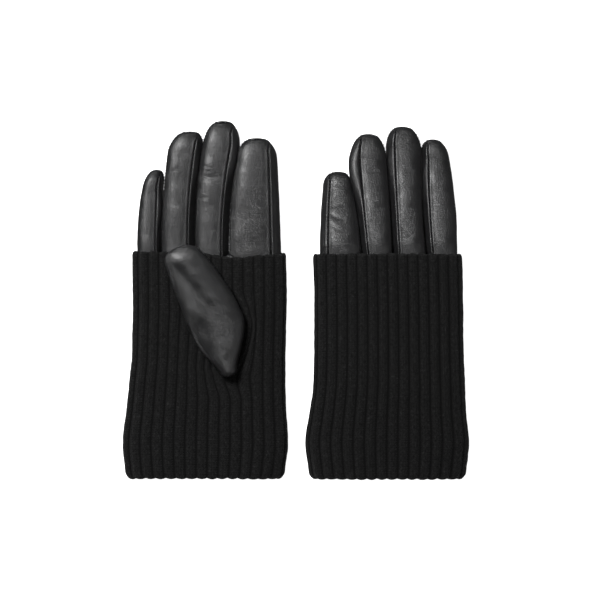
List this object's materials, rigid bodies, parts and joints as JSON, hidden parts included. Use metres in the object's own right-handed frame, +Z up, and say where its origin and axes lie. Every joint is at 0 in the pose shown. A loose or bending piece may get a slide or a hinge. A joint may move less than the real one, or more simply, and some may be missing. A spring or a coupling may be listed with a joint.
{
  "type": "pair of leather gloves",
  "caption": "Pair of lined black leather gloves with turned-up rib-knit cuffs: the right one palm up, the left one back up, with jointed fingers and thumbs.",
  "frame": {"origin": "centre of the pair's outline on the surface it lies on", "axes": "+Y to the fingertips, +X from the right glove to the left glove, +Z up, away from the surface"},
  "size_m": [0.2302, 0.2388, 0.0288],
  "materials": {
    "leather": "semi-matt black nappa",
    "rib_knit": "matt black wool rib knit",
    "lining": "matt brushed knit lining",
    "tape": "satin woven tape"
  },
  "bodies": {
    "right_hand": {"right_palm_leather": "leather", "right_back_leather": "leather", "right_hand_lining": "lining", "right_wrist_binding": "tape", "right_knit_cuff": "rib_knit", "right_cuff_rim": "rib_knit", "right_thumbhole_edge": "rib_knit", "right_thumb_quirk": "leather"},
    "right_index": {"right_index_palm": "leather", "right_index_back": "leather", "right_index_lining": "lining", "right_index_fourchette": "leather"},
    "right_middle": {"right_middle_palm": "leather", "right_middle_back": "leather", "right_middle_lining": "lining", "right_middle_fourchette_b": "leather", "right_middle_fourchette_a": "leather"},
    "right_ring": {"right_ring_palm": "leather", "right_ring_back": "leather", "right_ring_lining": "lining", "right_ring_fourchette_b": "leather", "right_ring_fourchette_a": "leather"},
    "right_little": {"right_little_palm": "leather", "right_little_back": "leather", "right_little_lining": "lining", "right_little_fourchette": "leather"},
    "right_thumb": {"right_thumb_front": "leather", "right_thumb_back": "leather", "right_thumb_lining": "lining"},
    "left_hand": {"left_palm_leather": "leather", "left_back_leather": "leather", "left_hand_lining": "lining", "left_wrist_binding": "tape", "left_knit_cuff": "rib_knit", "left_cuff_rim": "rib_knit", "left_thumbhole_edge": "rib_knit", "left_thumb_quirk": "leather"},
    "left_index": {"left_index_palm": "leather", "left_index_back": "leather", "left_index_lining": "lining", "left_index_fourchette": "leather"},
    "left_middle": {"left_middle_palm": "leather", "left_middle_back": "leather", "left_middle_lining": "lining", "left_middle_fourchette_b": "leather", "left_middle_fourchette_a": "leather"},
    "left_ring": {"left_ring_palm": "leather", "left_ring_back": "leather", "left_ring_lining": "lining", "left_ring_fourchette_b": "leather", "left_ring_fourchette_a": "leather"},
    "left_little": {"left_little_palm": "leather", "left_little_back": "leather", "left_little_lining": "lining", "left_little_fourchette": "leather"},
    "left_thumb": {"left_thumb_front": "leather", "left_thumb_back": "leather", "left_thumb_lining": "lining"}
  },
  "joints": [
    {"name": "right_index_curl", "type": "hinge", "parent": "right_hand", "child": "right_index", "pos_m": [-0.0272, 0.0364, 0.0155], "axis": [0.9969, -0.0785, 0], "range_deg": [0, 70]},
    {"name": "right_middle_curl", "type": "hinge", "parent": "right_hand", "child": "right_middle", "pos_m": [-0.0556, 0.0364, 0.0155], "axis": [0.9969, -0.0785, 0], "range_deg": [0, 70]},
    {"name": "right_ring_curl", "type": "hinge", "parent": "right_hand", "child": "right_ring", "pos_m": [-0.07805, 0.0364, 0.0155], "axis": [0.9969, -0.0785, 0], "range_deg": [0, 70]},
    {"name": "right_little_curl", "type": "hinge", "parent": "right_hand", "child": "right_little", "pos_m": [-0.09735, 0.0364, 0.0155], "axis": [0.9969, -0.0785, 0], "range_deg": [0, 70]},
    {"name": "right_thumb_lift", "type": "hinge", "parent": "right_hand", "child": "right_thumb", "pos_m": [-0.0375, -0.04535, 0.01815], "axis": [0.1811, 0.9835, 0], "range_deg": [0, 90]},
    {"name": "left_glove_lift", "type": "slide", "parent": "right_hand", "child": "left_hand", "axis": [0, 0, 1], "range_m": [0, 0.15]},
    {"name": "left_index_curl", "type": "hinge", "parent": "left_hand", "child": "left_index", "pos_m": [0.0965, 0.0364, 0.0133], "axis": [-0.9976, -0.0698, 0], "range_deg": [0, 70]},
    {"name": "left_middle_curl", "type": "hinge", "parent": "left_hand", "child": "left_middle", "pos_m": [0.0748, 0.0364, 0.0133], "axis": [-0.9976, -0.0698, 0], "range_deg": [0, 70]},
    {"name": "left_ring_curl", "type": "hinge", "parent": "left_hand", "child": "left_ring", "pos_m": [0.05335, 0.0364, 0.0133], "axis": [-0.9976, -0.0698, 0], "range_deg": [0, 70]},
    {"name": "left_little_curl", "type": "hinge", "parent": "left_hand", "child": "left_little", "pos_m": [0.0297, 0.0364, 0.0133], "axis": [-0.9976, -0.0698, 0], "range_deg": [0, 70]},
    {"name": "left_thumb_lift", "type": "hinge", "parent": "left_hand", "child": "left_thumb", "pos_m": [0.0847, -0.04535, 0.01065], "axis": [-0.1811, -0.9835, 0], "range_deg": [0, 90]}
  ]
}
